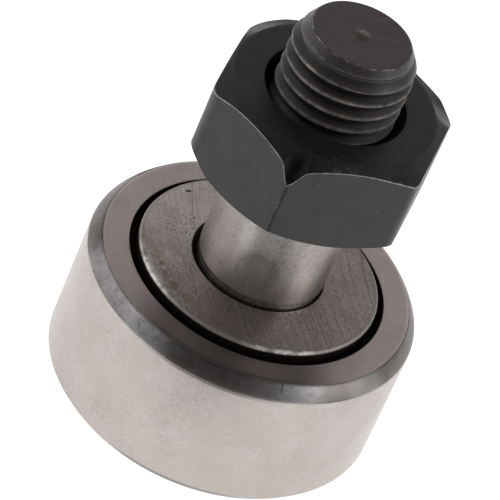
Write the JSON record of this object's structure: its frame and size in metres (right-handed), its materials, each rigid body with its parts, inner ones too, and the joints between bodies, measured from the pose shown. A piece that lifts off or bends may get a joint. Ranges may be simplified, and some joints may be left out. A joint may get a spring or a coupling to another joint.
{
  "type": "cam follower",
  "caption": "Stud-type cam follower: a chamfered steel ring on needle rollers round a headed stud with a plain shank, threaded end and hexagon nut.",
  "frame": {"origin": "centre of the outer face of the stud's head, where the follower stands on a bench", "axes": "+Z along the stud from the head through the washer and nut to the threaded end; X along the screwdriver slot in the head"},
  "size_m": [0.026, 0.026, 0.0362],
  "materials": {
    "ground_steel_ring": "ground and tumbled bearing steel, satin",
    "ground_steel_washer": "ground steel with fine crossed grinding lines",
    "ground_steel_stud": "ground shank, black oxide thread",
    "black_oxide_nut": "black oxide, satin",
    "cage_steel": "pressed sheet steel",
    "needle_steel": "lapped bearing steel",
    "nipple_brass": "turned brass",
    "spring_steel": "bright drawn wire"
  },
  "bodies": {
    "stud": {"stud": "ground_steel_stud", "end_washer": "ground_steel_washer", "grease_nipple": "nipple_brass", "nipple_spring": "spring_steel"},
    "ring": {"outer_ring": "ground_steel_ring"},
    "cage": {"needle_cage": "cage_steel"},
    "nut": {"hex_nut": "black_oxide_nut"},
    "ball": {"nipple_ball": "needle_steel"},
    "needle_01": {"needle_01": "needle_steel"},
    "needle_02": {"needle_02": "needle_steel"},
    "needle_03": {"needle_03": "needle_steel"},
    "needle_04": {"needle_04": "needle_steel"},
    "needle_05": {"needle_05": "needle_steel"},
    "needle_06": {"needle_06": "needle_steel"},
    "needle_07": {"needle_07": "needle_steel"},
    "needle_08": {"needle_08": "needle_steel"},
    "needle_09": {"needle_09": "needle_steel"},
    "needle_10": {"needle_10": "needle_steel"},
    "needle_11": {"needle_11": "needle_steel"},
    "needle_12": {"needle_12": "needle_steel"},
    "needle_13": {"needle_13": "needle_steel"},
    "needle_14": {"needle_14": "needle_steel"},
    "needle_15": {"needle_15": "needle_steel"},
    "needle_16": {"needle_16": "needle_steel"}
  },
  "joints": [
    {"name": "ring_spin", "type": "hinge", "parent": "stud", "child": "ring", "pos_m": [0, 0, 0.0066], "axis": [0, 0, 1], "continuous": true},
    {"name": "cage_spin", "type": "hinge", "parent": "stud", "child": "cage", "pos_m": [0, 0, 0.0066], "axis": [0, 0, 1], "continuous": true},
    {"name": "nut_travel", "type": "slide", "parent": "stud", "child": "nut", "axis": [0, 0, 1], "range_m": [0, 0.015]},
    {"name": "ball_lift", "type": "slide", "parent": "stud", "child": "ball", "axis": [0, 0, 1], "range_m": [0, 0.0006], "stiffness_N_per_m": 400, "springref_m": -0.0005, "deforming": ["nipple_spring"]},
    {"name": "needle_01_spin", "type": "hinge", "parent": "cage", "child": "needle_01", "pos_m": [0.00785, 0.00156, 0.0066], "axis": [0, 0, 1], "continuous": true},
    {"name": "needle_02_spin", "type": "hinge", "parent": "cage", "child": "needle_02", "pos_m": [0.00665, 0.00444, 0.0066], "axis": [0, 0, 1], "continuous": true},
    {"name": "needle_03_spin", "type": "hinge", "parent": "cage", "child": "needle_03", "pos_m": [0.00444, 0.00665, 0.0066], "axis": [0, 0, 1], "continuous": true},
    {"name": "needle_04_spin", "type": "hinge", "parent": "cage", "child": "needle_04", "pos_m": [0.00156, 0.00785, 0.0066], "axis": [0, 0, 1], "continuous": true},
    {"name": "needle_05_spin", "type": "hinge", "parent": "cage", "child": "needle_05", "pos_m": [-0.00156, 0.00785, 0.0066], "axis": [0, 0, 1], "continuous": true},
    {"name": "needle_06_spin", "type": "hinge", "parent": "cage", "child": "needle_06", "pos_m": [-0.00444, 0.00665, 0.0066], "axis": [0, 0, 1], "continuous": true},
    {"name": "needle_07_spin", "type": "hinge", "parent": "cage", "child": "needle_07", "pos_m": [-0.00665, 0.00444, 0.0066], "axis": [0, 0, 1], "continuous": true},
    {"name": "needle_08_spin", "type": "hinge", "parent": "cage", "child": "needle_08", "pos_m": [-0.00785, 0.00156, 0.0066], "axis": [0, 0, 1], "continuous": true},
    {"name": "needle_09_spin", "type": "hinge", "parent": "cage", "child": "needle_09", "pos_m": [-0.00785, -0.00156, 0.0066], "axis": [0, 0, 1], "continuous": true},
    {"name": "needle_10_spin", "type": "hinge", "parent": "cage", "child": "needle_10", "pos_m": [-0.00665, -0.00444, 0.0066], "axis": [0, 0, 1], "continuous": true},
    {"name": "needle_11_spin", "type": "hinge", "parent": "cage", "child": "needle_11", "pos_m": [-0.00444, -0.00665, 0.0066], "axis": [0, 0, 1], "continuous": true},
    {"name": "needle_12_spin", "type": "hinge", "parent": "cage", "child": "needle_12", "pos_m": [-0.00156, -0.00785, 0.0066], "axis": [0, 0, 1], "continuous": true},
    {"name": "needle_13_spin", "type": "hinge", "parent": "cage", "child": "needle_13", "pos_m": [0.00156, -0.00785, 0.0066], "axis": [0, 0, 1], "continuous": true},
    {"name": "needle_14_spin", "type": "hinge", "parent": "cage", "child": "needle_14", "pos_m": [0.00444, -0.00665, 0.0066], "axis": [0, 0, 1], "continuous": true},
    {"name": "needle_15_spin", "type": "hinge", "parent": "cage", "child": "needle_15", "pos_m": [0.00665, -0.00444, 0.0066], "axis": [0, 0, 1], "continuous": true},
    {"name": "needle_16_spin", "type": "hinge", "parent": "cage", "child": "needle_16", "pos_m": [0.00785, -0.00156, 0.0066], "axis": [0, 0, 1], "continuous": true}
  ],
  "couplings": [
    {"joint": "cage_spin", "follows": "ring_spin", "ratio": 0.5625},
    {"joint": "needle_01_spin", "follows": "ring_spin", "ratio": 3.9375},
    {"joint": "needle_02_spin", "follows": "ring_spin", "ratio": 3.9375},
    {"joint": "needle_03_spin", "follows": "ring_spin", "ratio": 3.9375},
    {"joint": "needle_04_spin", "follows": "ring_spin", "ratio": 3.9375},
    {"joint": "needle_05_spin", "follows": "ring_spin", "ratio": 3.9375},
    {"joint": "needle_06_spin", "follows": "ring_spin", "ratio": 3.9375},
    {"joint": "needle_07_spin", "follows": "ring_spin", "ratio": 3.9375},
    {"joint": "needle_08_spin", "follows": "ring_spin", "ratio": 3.9375},
    {"joint": "needle_09_spin", "follows": "ring_spin", "ratio": 3.9375},
    {"joint": "needle_10_spin", "follows": "ring_spin", "ratio": 3.9375},
    {"joint": "needle_11_spin", "follows": "ring_spin", "ratio": 3.9375},
    {"joint": "needle_12_spin", "follows": "ring_spin", "ratio": 3.9375},
    {"joint": "needle_13_spin", "follows": "ring_spin", "ratio": 3.9375},
    {"joint": "needle_14_spin", "follows": "ring_spin", "ratio": 3.9375},
    {"joint": "needle_15_spin", "follows": "ring_spin", "ratio": 3.9375},
    {"joint": "needle_16_spin", "follows": "ring_spin", "ratio": 3.9375}
  ]
}
